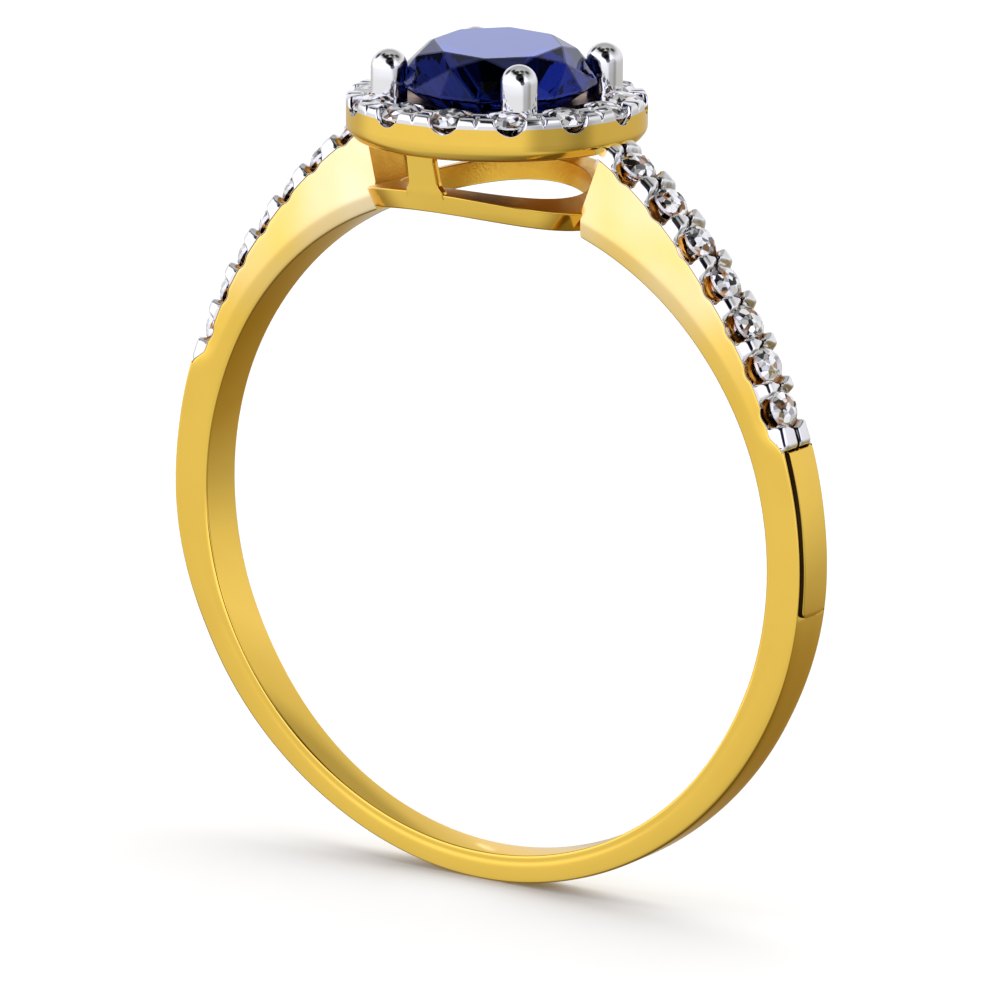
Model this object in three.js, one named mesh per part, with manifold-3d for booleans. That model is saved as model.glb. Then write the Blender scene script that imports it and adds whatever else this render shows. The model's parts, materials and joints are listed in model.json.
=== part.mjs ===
// Halo engagement ring, yellow gold with white pavé settings, millimetres, +Z up.
// The origin is the centre of the finger hole. X runs across the ring, Y along the finger and Z up to the
// head. Angles around the band are measured from the head (0 degrees) to the bottom of the band (180 degrees).
import * as THREE from 'three';
import { mergeVertices } from 'three/addons/utils/BufferGeometryUtils.js';
import { ConvexGeometry } from 'three/addons/geometries/ConvexGeometry.js';
import Module from 'manifold-3d';

// ---- Driving dimensions ----
const GAP = 0.012;                   // clearance between neighbouring pieces
const FINGER_R = 8.5;                // bore of the band
const FLANK_R = 8.92;                // where the bevelled flank of a shoulder starts
const BAND_STEPS = 96;               // steps around the band, with one flat step centred on the bottom
const REACH = 12;                    // longer than the ring in any direction from the origin
const OVERRUN = 1;                   // how far cutters run past the faces they cut
const CUTTER_SIDES = 14;
const DEGREES_PER_MM = 6;            // turn of the rim for one millimetre along it

// The band's section at a few angles: rim radius, half width at the bore, half width at the rim.
const BAND_SECTIONS = [
  { angle: 0, rim: 11.4, flank: 0.93, edge: 0.68 },
  { angle: 22, rim: 10.77, flank: 0.86, edge: 0.68 },
  { angle: 32, rim: 10.37, flank: 0.81, edge: 0.68 },
  { angle: 42, rim: 10.02, flank: 0.77, edge: 0.68 },
  { angle: 52, rim: 9.8, flank: 0.74, edge: 0.67 },
  { angle: 62, rim: 9.64, flank: 0.7, edge: 0.67 },
  { angle: 70, rim: 9.55, flank: 0.68, edge: 0.67 },
  { angle: 80, rim: 9.505, flank: 0.673, edge: 0.673 },
  { angle: 95, rim: 9.49, flank: 0.673, edge: 0.673 },
  { angle: 120, rim: 9.376, flank: 0.65, edge: 0.65 },
  { angle: 150, rim: 9.254, flank: 0.53, edge: 0.53 },
  { angle: 180, rim: 9.235, flank: 0.486, edge: 0.486 },
];

// Plain raised strip below each row of shoulder stones
const STRIP = { halfWidth: 0.53, proud: 0.08, root: 0.3, start: 70.6, end: 96 };

// White pavé rail let into each shoulder, with its seven stones
const RAIL_START = 18;               // hidden under the halo
const RAIL_END = 70.4;
const RAIL_DEPTH = 0.42;
const SHOULDER_STONES = 7;
const FIRST_STONE_ANGLE = 23.6;
const STONE_PITCH_ANGLE = 6.75;
const SHOULDER_GIRDLE_DROP = 0.11;   // girdle plane below the rim
const SHOULDER_NOTCH = { radius: 0.45, depth: 0.34, length: 3 };

// Halo: yellow outer band, white pavé plate on it, fourteen stones
const HALO_R = 3.79;
const HALO_FOOT_R = 3.6;
const HALO_BOTTOM = 10.05;
const HALO_CORNER = 10.3;            // height where the band's side becomes upright
const HALO_SEAM = 10.9;              // meeting line of the yellow band and the white plate
const HALO_TOP = 11.1;
const HALO_FLOOR = 10.38;
const HALO_FLOOR_R = 2.45;
const PLATE_HUB_R = 3.35;
const PLATE_BORE_R = 2.62;
const HALO_STONES = 14;
const HALO_STONE_CIRCLE = 3.26;
const HALO_GIRDLE_Z = 11.0;
const HALO_NOTCH = { radius: 0.43, z: 11.14, length: 1.2 };
const HALO_SIDES = 56;

// Small round diamonds
const HALO_STONE = { sides: 6, radius: 0.49, table: 0.28, crown: 0.16, girdle: 0.03, pavilion: 0.42 };
const SHOULDER_STONE = { ...HALO_STONE, radius: 0.53, table: 0.3 };
const SMALL_STAR = { radius: 0.36, drop: 0.035 };
const STONE_ROOM_RISE = 1.5;         // the room over a small stone, up from its girdle

// Centre sapphire, a round brilliant
const SAPPHIRE = { sides: 8, radius: 2.55, table: 1.65, crown: 0.85, girdle: 0.08, pavilion: 1.8 };
const SAPPHIRE_GIRDLE_Z = 11.5;
const SAPPHIRE_STAR = { radius: 2.05, drop: 0.25 };

// Seat ring under the sapphire and the four claws that hold it
const SEAT_R = 2.43;
const SEAT_BOTTOM = 10.36;
const SEAT_TOP = 11;
const SEAT_FOOT_BORE_R = 0.9;        // inside the sapphire's cone, which opens the seat's bore
const SEAT_HEAD_BORE_R = 1.6;
const SEAT_SIDES = 32;
const CLAW_CIRCLE = 2.75;
const CLAW_R = 0.43;
const CLAW_TOP = 12.35;
const CLAW_SIDES = 16;

// Gallery: the curved rail on the finger hole and the two posts up to the halo. Its heights are radii about
// the finger axis, so the rail bends with the finger.
const GALLERY_BORE_R = 2.38;
const GALLERY_FOOT_R = 3.06;
const GALLERY_HEAD_R = 3.28;
const GALLERY_INNER_BOTTOM = 8.5;
const GALLERY_OUTER_BOTTOM = 8.6;
const GALLERY_TOP = 9.12;
const SHOULDER_END_FOOT_R = 3.04;    // the shoulders' end faces lean outwards from here
const SHOULDER_END_HEAD_R = 3.4;
const SHOULDER_END_FOOT = 8.6;
const POST = { bottomHalf: 0.42, topHalf: 0.32, depth: 0.35, footR: 3.25, headR: 3.52, root: 0.3 };
const POST_SLAB = { near: 2, far: 4 }; // distances from the middle that the slab a post is cut from spans

const COLOURS = { gold: 0xdfb64a, white: 0xe9eaee, sapphire: 0x1b2a86, diamond: 0xf2f5fa };

// ---- Solids ----
const wasm = await Module();
wasm.setup();

// Turns closed three.js geometry into a solid: shared corners are merged, empty triangles dropped and the
// faces turned outwards.
function toSolid(geometry) {
  geometry.deleteAttribute('normal');
  geometry.deleteAttribute('uv');
  const merged = mergeVertices(geometry, 1e-5);
  const corners = merged.attributes.position.array;
  const order = [];
  let volume = 0;
  const a = new THREE.Vector3();
  const b = new THREE.Vector3();
  const c = new THREE.Vector3();
  for (let i = 0; i < merged.index.count; i += 3) {
    const [p, q, r] = merged.index.array.subarray(i, i + 3);
    if (p === q || q === r || r === p) continue;
    a.fromArray(corners, p * 3);
    b.fromArray(corners, q * 3);
    c.fromArray(corners, r * 3);
    volume += a.dot(b.cross(c));
    order.push([p, q, r]);
  }
  const triangles = order.flatMap(([p, q, r]) => (volume > 0 ? [p, q, r] : [p, r, q]));
  return new wasm.Manifold(new wasm.Mesh({
    numProp: 3,
    vertProperties: new Float32Array(corners),
    triVerts: new Uint32Array(triangles),
  }));
}

// The same geometry moved into place first.
function placedSolid(geometry, matrix) {
  return toSolid(geometry.clone().applyMatrix4(matrix));
}

function addMesh(group, name, solid, material) {
  const mesh = solid.getMesh();
  const geometry = new THREE.BufferGeometry();
  geometry.setAttribute('position', new THREE.BufferAttribute(mesh.vertProperties, 3));
  geometry.setIndex(new THREE.BufferAttribute(mesh.triVerts, 1));
  geometry.computeVertexNormals();
  const part = new THREE.Mesh(geometry, material);
  part.name = name;
  group.add(part);
}

// A turned piece about the vertical axis from [radius, z] corners.
function turned(corners, sides) {
  const profile = corners.map(([radius, z]) => new THREE.Vector2(radius, z));
  const upright = new THREE.Matrix4().makeRotationX(Math.PI / 2);
  return placedSolid(new THREE.LatheGeometry(profile, sides), upright);
}

function closed(corners) {
  return [...corners, corners[0]];
}

// ---- The band and its curves ----
const radians = THREE.MathUtils.degToRad;
const sectionAngles = BAND_SECTIONS.map((station) => radians(station.angle));
const sectionValues = BAND_SECTIONS.flatMap((station) => [station.rim, station.flank, station.edge]);
const sectionCurve = new THREE.CubicInterpolant(sectionAngles, sectionValues, 3);

// Section at an angle from the head; both sides of the ring are alike.
function bandSection(angle) {
  const turn = Math.abs(Math.atan2(Math.sin(angle), Math.cos(angle)));
  const [rim, flank, edge] = sectionCurve.evaluate(turn);
  return { rim, flank, edge };
}

// A closed loop of [radius, y] section corners swept once round the finger axis. The lathe gives the rings
// and faces, and each ring takes the section of its own angle.
function sweptRound(sectionAt) {
  const phase = Math.PI / BAND_STEPS;
  const profile = closed(sectionAt(0)).map(([radius, y]) => new THREE.Vector2(radius, y));
  const geometry = new THREE.LatheGeometry(profile, BAND_STEPS);
  const position = geometry.attributes.position;
  for (let i = 0; i < position.count; i += 1) {
    const step = Math.floor(i / profile.length) % BAND_STEPS;
    const angle = phase + (step * 2 * Math.PI) / BAND_STEPS;
    const [radius, y] = closed(sectionAt(angle))[i % profile.length];
    position.setXYZ(i, radius * Math.sin(angle), y, radius * Math.cos(angle));
  }
  return toSolid(geometry);
}

// The whole band: flat sides up to FLANK_R, then flanks that lean in to the rim.
function bandLoop(angle) {
  const { rim, flank, edge } = bandSection(angle);
  return [
    [FINGER_R, -flank], [FLANK_R, -flank], [rim, -edge],
    [rim, edge], [FLANK_R, flank], [FINGER_R, flank],
  ];
}

// A plain rectangular loop between two depths below the rim.
function depthLoop(innerDrop, outerDrop, halfWidth) {
  return (angle) => {
    const { rim } = bandSection(angle);
    return [
      [rim - innerDrop, -halfWidth], [rim - outerDrop, -halfWidth],
      [rim - outerDrop, halfWidth], [rim - innerDrop, halfWidth],
    ];
  };
}

// A slice of the ring between two angles on the +X side, wider than the band; side -1 mirrors it.
function wedge(start, end, side) {
  const shape = new THREE.Shape();
  shape.moveTo(0, 0);
  const middle = (start + end) / 2;
  for (const angle of [start, middle, end]) {
    const reach = 2 * REACH;
    shape.lineTo(side * reach * Math.sin(radians(angle)), reach * Math.cos(radians(angle)));
  }
  const slab = new THREE.ExtrudeGeometry(shape, { depth: 2 * REACH, bevelEnabled: false });
  const stand = new THREE.Matrix4().makeRotationX(Math.PI / 2).setPosition(0, REACH, 0);
  return placedSolid(slab, stand);
}

// Frame on the rim at an angle: X along the row, Y along the finger, Z out of the surface.
function rimFrame(angleDegrees, side) {
  const span = radians(1);
  const point = (angle) => {
    const { rim } = bandSection(angle);
    return new THREE.Vector3(side * rim * Math.sin(angle), 0, rim * Math.cos(angle));
  };
  const angle = radians(angleDegrees);
  const along = point(angle + span).sub(point(angle - span)).normalize().multiplyScalar(side);
  const finger = new THREE.Vector3(0, 1, 0);
  const out = along.clone().cross(finger);
  return new THREE.Matrix4().makeBasis(along, finger, out).setPosition(point(angle));
}

// ---- Stones ----
// A round brilliant with its girdle's lower edge at z = 0: table, star facets, girdle and culet.
function brilliant({ sides, radius, table, crown, girdle, pavilion }, star) {
  const points = [new THREE.Vector3(0, 0, -pavilion)];
  const ring = (count, ringRadius, z, shift) => {
    for (let i = 0; i < count; i += 1) {
      const angle = ((i + shift) * 2 * Math.PI) / count;
      points.push(new THREE.Vector3(ringRadius * Math.cos(angle), ringRadius * Math.sin(angle), z));
    }
  };
  ring(sides, table, girdle + crown, 0.5);
  ring(sides, star.radius, girdle + crown - star.drop, 0);
  ring(2 * sides, radius, girdle, 0.5);
  ring(2 * sides, radius, 0, 0.5);
  return new ConvexGeometry(points);
}

const haloStone = brilliant(HALO_STONE, SMALL_STAR);
const shoulderStone = brilliant(SHOULDER_STONE, SMALL_STAR);
const sapphireCut = brilliant(SAPPHIRE, SAPPHIRE_STAR);

// The room a small stone needs: its own outline grown by the gap and open above.
function stoneSeat({ sides, radius, pavilion }) {
  const wide = radius + GAP;
  return new THREE.LatheGeometry([
    new THREE.Vector2(0, -pavilion - 2 * GAP),
    new THREE.Vector2(wide, -GAP),
    new THREE.Vector2(wide, STONE_ROOM_RISE),
    new THREE.Vector2(0, STONE_ROOM_RISE),
  ], 2 * sides).rotateX(Math.PI / 2);
}

const haloStoneSeat = stoneSeat(HALO_STONE);
const shoulderStoneSeat = stoneSeat(SHOULDER_STONE);

function shoulderStoneFrame(index, side) {
  const frame = rimFrame(FIRST_STONE_ANGLE + index * STONE_PITCH_ANGLE, side);
  return frame.multiply(new THREE.Matrix4().makeTranslation(0, 0, -SHOULDER_GIRDLE_DROP));
}

function haloStoneFrame(index) {
  const angle = (index * 2 * Math.PI) / HALO_STONES;
  const out = new THREE.Matrix4().makeTranslation(HALO_STONE_CIRCLE, 0, HALO_GIRDLE_Z);
  return new THREE.Matrix4().makeRotationZ(angle).multiply(out);
}

// ---- Cutters ----
function joined(solids) {
  return solids.reduce((whole, solid) => whole.add(solid));
}

// Seat and cross notch of every stone in one shoulder row.
function shoulderCups(side) {
  const { radius, depth, length } = SHOULDER_NOTCH;
  const notch = new THREE.CylinderGeometry(radius, radius, length, CUTTER_SIDES);
  notch.translate(0, 0, radius - depth + SHOULDER_GIRDLE_DROP);
  const cups = [];
  for (let i = 0; i < SHOULDER_STONES; i += 1) {
    const frame = shoulderStoneFrame(i, side);
    cups.push(placedSolid(shoulderStoneSeat, frame), placedSolid(notch, frame));
  }
  return joined(cups);
}

function haloSeatSolids() {
  const seats = [];
  for (let i = 0; i < HALO_STONES; i += 1) {
    seats.push(placedSolid(haloStoneSeat, haloStoneFrame(i)));
  }
  return joined(seats);
}

// The notches that open each halo cup through the rim.
function haloNotches() {
  const { radius, z, length } = HALO_NOTCH;
  const notch = new THREE.CylinderGeometry(radius, radius, length, CUTTER_SIDES);
  notch.rotateZ(Math.PI / 2).translate(length / 2, 0, z - HALO_GIRDLE_Z);
  const notches = [];
  for (let i = 0; i < HALO_STONES; i += 1) {
    notches.push(placedSolid(notch, haloStoneFrame(i)));
  }
  return joined(notches);
}

// A closed loop of [radius, height] corners turned about the vertical axis and bent over the finger: each
// height is a distance from the finger axis.
function bentOverFinger(corners, sides) {
  const profile = corners.map(([radius, height]) => new THREE.Vector2(radius, height));
  const geometry = new THREE.LatheGeometry(profile, sides).rotateX(Math.PI / 2);
  const position = geometry.attributes.position;
  for (let i = 0; i < position.count; i += 1) {
    const x = position.getX(i);
    const height = position.getZ(i);
    position.setZ(i, Math.sqrt(height * height - x * x));
  }
  return toSolid(geometry);
}

// The space taken by the head, grown by the gap, which the shoulders stop at.
function headSpace() {
  const halo = turned([
    [0, SHOULDER_END_FOOT - OVERRUN], [SHOULDER_END_FOOT_R, SHOULDER_END_FOOT - OVERRUN],
    [SHOULDER_END_FOOT_R, SHOULDER_END_FOOT], [SHOULDER_END_HEAD_R, HALO_BOTTOM - GAP],
    [HALO_FOOT_R + GAP, HALO_BOTTOM - GAP], [HALO_R + GAP, HALO_CORNER], [HALO_R + GAP, REACH], [0, REACH],
  ], HALO_SIDES);
  const gallery = bentOverFinger([
    [0, FINGER_R - OVERRUN], [GALLERY_FOOT_R + GAP, FINGER_R - OVERRUN],
    [GALLERY_FOOT_R + GAP, GALLERY_OUTER_BOTTOM],
    [GALLERY_HEAD_R + GAP, GALLERY_TOP + GAP], [0, GALLERY_TOP + GAP],
  ], HALO_SIDES);
  return halo.add(gallery);
}

// ---- Metal pieces ----
const haloSeats = haloSeatSolids();
const cups = haloSeats.add(haloNotches());
const head = headSpace();

// The part of a shoulder that its white rail takes up.
function railZone(side, grow) {
  const slice = wedge(RAIL_START, RAIL_END + grow * DEGREES_PER_MM, side);
  return sweptRound(depthLoop(RAIL_DEPTH + grow, -OVERRUN, OVERRUN)).intersect(slice);
}

function shank() {
  const strip = sweptRound(depthLoop(STRIP.root, -STRIP.proud, STRIP.halfWidth));
  let band = sweptRound(bandLoop);
  for (const side of [-1, 1]) {
    band = band.add(strip.intersect(wedge(STRIP.start, STRIP.end, side)));
    band = band.subtract(railZone(side, GAP));
  }
  return band.subtract(head);
}

function paveRail(side) {
  const blank = sweptRound(bandLoop).intersect(railZone(side, 0));
  return blank.subtract(head).subtract(shoulderCups(side));
}

// An L-shaped ring: the yellow side wall and the floor under the pavé plate.
function haloBand() {
  const wall = PLATE_HUB_R + GAP;
  const ring = turned(closed([
    [HALO_FLOOR_R, HALO_BOTTOM], [HALO_FOOT_R, HALO_BOTTOM], [HALO_R, HALO_CORNER], [HALO_R, HALO_SEAM],
    [wall, HALO_SEAM], [wall, HALO_FLOOR], [HALO_FLOOR_R, HALO_FLOOR],
  ]), HALO_SIDES);
  return ring.subtract(cups);
}

// A round claw with a domed top; grow widens it into the room it needs, down to half the gap above the floor.
function clawAt(index, grow) {
  const angle = Math.PI / 4 + (index * Math.PI) / 2;
  const radius = CLAW_R + grow;
  const foot = HALO_FLOOR + GAP - grow / 2;
  const profile = [new THREE.Vector2(0, foot), new THREE.Vector2(radius, foot)];
  const domeSteps = 4;
  for (let i = 0; i <= domeSteps; i += 1) {
    const lift = (i / domeSteps) * (Math.PI / 2);
    const across = i === domeSteps ? 0 : radius * Math.cos(lift);
    profile.push(new THREE.Vector2(across, CLAW_TOP - CLAW_R + radius * Math.sin(lift)));
  }
  const place = new THREE.Matrix4().makeTranslation(
    CLAW_CIRCLE * Math.cos(angle),
    CLAW_CIRCLE * Math.sin(angle),
    0,
  );
  return placedSolid(new THREE.LatheGeometry(profile, CLAW_SIDES).rotateX(Math.PI / 2), place);
}

const clawRoom = joined([0, 1, 2, 3].map((index) => clawAt(index, GAP)));

// The room the sapphire needs: its own cut grown by the gap.
function sapphireSpace() {
  const grown = { ...SAPPHIRE, radius: SAPPHIRE.radius + GAP, girdle: SAPPHIRE.girdle + 2 * GAP };
  grown.table = SAPPHIRE.table + GAP;
  grown.pavilion = SAPPHIRE.pavilion + 2 * GAP;
  const cut = brilliant(grown, { ...SAPPHIRE_STAR, radius: SAPPHIRE_STAR.radius + GAP });
  return placedSolid(cut, new THREE.Matrix4().makeTranslation(0, 0, SAPPHIRE_GIRDLE_Z - GAP));
}

const sapphireRoom = sapphireSpace();

function claw(index) {
  return clawAt(index, 0).subtract(sapphireRoom).subtract(haloSeats);
}

// T-shaped ring: the white flange that carries the stones and the hub inside the yellow band.
function pavePlate() {
  const ring = turned(closed([
    [PLATE_BORE_R, HALO_FLOOR + GAP], [PLATE_HUB_R, HALO_FLOOR + GAP], [PLATE_HUB_R, HALO_SEAM + GAP],
    [HALO_R, HALO_SEAM + GAP], [HALO_R, HALO_TOP], [PLATE_BORE_R, HALO_TOP],
  ]), HALO_SIDES);
  return ring.subtract(cups).subtract(clawRoom).subtract(sapphireRoom);
}

// Ring with a conical bore that the sapphire's underside rests in.
function centreSeat() {
  const ring = turned(closed([
    [SEAT_FOOT_BORE_R, SEAT_BOTTOM], [SEAT_R, SEAT_BOTTOM],
    [SEAT_R, SEAT_TOP], [SEAT_HEAD_BORE_R, SEAT_TOP],
  ]), SEAT_SIDES);
  return ring.subtract(sapphireRoom).subtract(clawRoom);
}

function galleryRail() {
  return bentOverFinger(closed([
    [GALLERY_BORE_R, GALLERY_INNER_BOTTOM], [GALLERY_FOOT_R, GALLERY_OUTER_BOTTOM],
    [GALLERY_HEAD_R, GALLERY_TOP], [GALLERY_BORE_R, GALLERY_TOP],
  ]), HALO_SIDES);
}

// A post tapers upwards and leans out with the gallery; side -1 is the front.
function galleryPost(side) {
  const bottom = GALLERY_TOP - POST.root;
  const shape = new THREE.Shape();
  shape.moveTo(-POST.bottomHalf, bottom);
  shape.lineTo(POST.bottomHalf, bottom);
  shape.lineTo(POST.topHalf, HALO_BOTTOM - GAP);
  shape.lineTo(-POST.topHalf, HALO_BOTTOM - GAP);
  const slab = new THREE.ExtrudeGeometry(shape, { depth: POST_SLAB.far - POST_SLAB.near, bevelEnabled: false });
  const y = side > 0 ? POST_SLAB.far : -POST_SLAB.near;
  const stand = new THREE.Matrix4().makeRotationX(Math.PI / 2).setPosition(0, y, 0);
  const shell = turned(closed([
    [POST.footR - POST.depth, bottom], [POST.footR, bottom],
    [POST.headR, HALO_BOTTOM], [POST.footR - POST.depth, HALO_BOTTOM],
  ]), HALO_SIDES);
  const rail = bentOverFinger([
    [0, FINGER_R], [POST_SLAB.far, FINGER_R], [POST_SLAB.far, GALLERY_TOP + GAP], [0, GALLERY_TOP + GAP],
  ], HALO_SIDES);
  return placedSolid(slab, stand).intersect(shell).subtract(rail);
}

// ---- Assembly ----
function metal(name, colour, roughness) {
  return new THREE.MeshStandardMaterial({ name, color: colour, roughness, metalness: 1, flatShading: true });
}

function gem(name, colour) {
  return new THREE.MeshStandardMaterial({ name, color: colour, roughness: 0.03, metalness: 0, flatShading: true });
}

const gold = () => metal('yellow_gold', COLOURS.gold, 0.18);
const whiteGold = () => metal('white_gold', COLOURS.white, 0.12);
const diamond = () => gem('diamond', COLOURS.diamond);

const ring = new THREE.Group();
ring.name = 'engagement_ring';

addMesh(ring, 'shank', shank(), gold());
addMesh(ring, 'halo_band', haloBand(), gold());
addMesh(ring, 'centre_seat', centreSeat(), gold());
addMesh(ring, 'gallery_rail', galleryRail(), gold());
addMesh(ring, 'gallery_post_front', galleryPost(-1), gold());
addMesh(ring, 'gallery_post_back', galleryPost(1), gold());
addMesh(ring, 'halo_pave_plate', pavePlate(), whiteGold());

for (let i = 0; i < 4; i += 1) {
  addMesh(ring, `claw_${i + 1}`, claw(i), whiteGold());
}

const sapphirePlace = new THREE.Matrix4().makeTranslation(0, 0, SAPPHIRE_GIRDLE_Z);
addMesh(ring, 'sapphire', placedSolid(sapphireCut, sapphirePlace), gem('sapphire', COLOURS.sapphire));

for (let i = 0; i < HALO_STONES; i += 1) {
  addMesh(ring, `halo_diamond_${i + 1}`, placedSolid(haloStone, haloStoneFrame(i)), diamond());
}

for (const [name, side] of [['left', -1], ['right', 1]]) {
  addMesh(ring, `${name}_pave_rail`, paveRail(side), whiteGold());
  for (let i = 0; i < SHOULDER_STONES; i += 1) {
    const stone = placedSolid(shoulderStone, shoulderStoneFrame(i, side));
    addMesh(ring, `${name}_diamond_${i + 1}`, stone, diamond());
  }
}

export default ring;
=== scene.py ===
"""Halo engagement ring in Blender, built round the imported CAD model.

Shapes are worked out in millimetres in the CAD frame: origin at the centre of the finger hole, X across the
ring, Y along the finger, Z up to the head. Angles round the band count from the head down, in degrees.
"""
import json
import math

import bpy
import numpy as np
from mathutils import Matrix, Vector


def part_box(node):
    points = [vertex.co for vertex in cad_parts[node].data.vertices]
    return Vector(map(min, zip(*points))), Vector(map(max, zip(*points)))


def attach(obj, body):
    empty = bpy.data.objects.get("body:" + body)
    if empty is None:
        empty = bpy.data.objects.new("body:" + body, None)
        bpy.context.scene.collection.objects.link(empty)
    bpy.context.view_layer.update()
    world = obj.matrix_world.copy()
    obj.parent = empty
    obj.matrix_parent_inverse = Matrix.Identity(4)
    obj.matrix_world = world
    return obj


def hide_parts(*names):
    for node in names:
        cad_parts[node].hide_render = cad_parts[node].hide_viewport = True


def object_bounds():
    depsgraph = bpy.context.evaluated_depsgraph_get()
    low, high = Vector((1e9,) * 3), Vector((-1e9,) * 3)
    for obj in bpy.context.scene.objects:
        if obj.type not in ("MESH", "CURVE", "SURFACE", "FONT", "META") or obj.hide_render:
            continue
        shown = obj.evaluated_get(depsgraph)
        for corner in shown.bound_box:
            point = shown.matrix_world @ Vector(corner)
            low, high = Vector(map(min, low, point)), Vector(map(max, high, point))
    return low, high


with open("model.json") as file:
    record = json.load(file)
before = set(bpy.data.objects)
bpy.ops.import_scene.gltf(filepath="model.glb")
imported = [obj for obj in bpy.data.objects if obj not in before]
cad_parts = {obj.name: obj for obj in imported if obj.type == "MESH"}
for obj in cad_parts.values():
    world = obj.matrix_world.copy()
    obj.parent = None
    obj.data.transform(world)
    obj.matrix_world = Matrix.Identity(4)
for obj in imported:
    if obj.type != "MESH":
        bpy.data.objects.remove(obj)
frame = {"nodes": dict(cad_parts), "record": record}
cad_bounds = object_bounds()

MM = 0.001


# ---- Sizes, taken from the frame where it gives them ----
def box_mm(node):
    low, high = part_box(node)
    return np.array(low) / MM, np.array(high) / MM


mounts = {mount["name"]: mount for mount in frame["record"]["mounts"]}
FINGER_R = mounts["finger_hole"]["dims"]["r_mm"]
HALO_LOW, HALO_HIGH = box_mm("halo_band")
HALO_R = HALO_HIGH[0]
HALO_BOTTOM = HALO_LOW[2]
HALO_TOP = box_mm("halo_pave_plate")[1][2]
CLAW_TOP = box_mm("claw_1")[1][2]
GEM_LOW, GEM_HIGH = box_mm("sapphire")
GEM_TABLE_Z = GEM_HIGH[2]
GEM_CULET_Z = GEM_LOW[2]

# Band profile against the angle from the head: rim radius, half width on the flank, half width at the rim.
FLANK_R = 8.92
FLANK_CROWN = 0.016
SWELL_POINTS = 7
RIM_STATIONS = [0, 22, 32, 42, 52, 62, 70, 80, 95, 120, 150, 180]
RIM_RADII = [11.4, 10.77, 10.37, 10.02, 9.8, 9.64, 9.55, 9.505, 9.49, 9.376, 9.254, 9.235]
FLANK_HALVES = [0.93, 0.86, 0.81, 0.77, 0.74, 0.7, 0.68, 0.673, 0.673, 0.65, 0.53, 0.486]
EDGE_STATIONS = [0, 22, 32, 42, 52, 62, 66, 69, 80, 95, 120, 150, 180]
EDGE_HALVES = [0.67, 0.67, 0.67, 0.67, 0.66, 0.635, 0.635, 0.672, 0.673, 0.673, 0.65, 0.53, 0.486]

# Shoulder rows: angles along the band, then the stones and their cups.
ROW_START = 18.5
ROW_END = 70.3
ROW_STONES = 7
ROW_FIRST = 23.6
ROW_PITCH = 6.75
ROW_MEAN_R = 10.0
ROW_STONE_R = 0.5
ROW_CUP_R = 0.51
ROW_GIRDLE_DROP = 0.15
WHITE_DEPTH = 0.32

# Relief of the white setting: prongs, the round notch beside each stone, the cup under it.
PRONG_RISE = 0.11
NOTCH_R = 0.38
NOTCH_CENTRE = 0.02
CUP_SEAT = 0.16
CUP_DEPTH = 0.62
CUP_WALL_SLOPE = 1.3
BLOCK_EASE = 0.28
NO_CUT = 9

# Plain raised strip below each row.
STRIP_HALF = 0.53
STRIP_PROUD = 0.08
STRIP_GROOVE = 0.03
STRIP_START = 70.5
STRIP_END = 96.0
STRIP_TIP = 3.0

# Halo.
HALO_STONES = 14
HALO_STONE_R = 0.5
HALO_CUP_R = 0.52
HALO_CUP_SEAT = 0.15
HALO_CIRCLE = 3.26
HALO_GIRDLE_DROP = 0.1
HALO_FOOT_R = 3.6
HALO_RISE = 0.07
HALO_EDGE_EASE = 0.14
HALO_LINE = 10.9
HALO_LEAN = math.radians(12)
HALO_INSIDE_Z = 10.42

# View that the camera takes and that the sapphire leans towards.
CAMERA_AZIMUTH = math.radians(33.489)
CAMERA_ELEVATION = math.radians(13.49)
CAMERA_ROLL = math.radians(0.42)


# ---- Small maths helpers ----
def smoothstep(low, high, x):
    """0 up to low, 1 from high on, and a soft S between them."""
    t = np.clip((x - low) / (high - low), 0, 1)
    return t * t * (3 - 2 * t)


def spline(stations, values):
    """A smooth curve through the stations; it leaves the first with the slope it has at the last."""
    x, y = np.array(stations, float), np.array(values, float)
    slope = np.gradient(y, x)
    slope[0] = slope[-1]

    def at(query):
        q = np.clip(np.asarray(query, float), x[0], x[-1])
        i = np.clip(np.searchsorted(x, q) - 1, 0, len(x) - 2)
        width = x[i + 1] - x[i]
        t = (q - x[i]) / width
        lift = (2 * t**3 - 3 * t**2 + 1) * y[i] + (3 * t**2 - 2 * t**3) * y[i + 1]
        lean = (t**3 - 2 * t**2 + t) * slope[i] + (t**3 - t**2) * slope[i + 1]
        return lift + lean * width

    return at


rim_radius = spline(RIM_STATIONS, RIM_RADII)
flank_half = spline(RIM_STATIONS, FLANK_HALVES)
edge_half = spline(EDGE_STATIONS, EDGE_HALVES)


def half_width_at(angle, radius):
    """Half width of the band on its flank at a radius."""
    flank, edge, rim = flank_half(angle), edge_half(angle), rim_radius(angle)
    t = np.clip((radius - FLANK_R) / (rim - FLANK_R), 0, 1)
    return flank + (edge - flank) * t


def rounded(corners, radii, steps=4):
    """A closed outline with every corner eased by a short curve of steps + 1 points."""
    longest_share = 0.45
    corners = np.array(corners, float)
    points = []
    for i, corner in enumerate(corners):
        before, after = corners[i - 1] - corner, corners[(i + 1) % len(corners)] - corner
        room_before, room_after = np.linalg.norm(before), np.linalg.norm(after)
        a = before / max(room_before, 1e-9)
        b = after / max(room_after, 1e-9)
        reach = min(radii[i], longest_share * room_before, longest_share * room_after)
        for t in np.linspace(0, 1, steps + 1):
            points.append(corner + a * reach * (1 - t) ** 2 + b * reach * t**2)
    return np.array(points)


def eased_drop(distance, ease):
    """How far a surface falls as it rounds over an edge at distance 0."""
    inside = np.clip(ease - distance, 0, ease)
    return ease - np.sqrt(np.clip(ease**2 - inside**2, 0, None))


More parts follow.
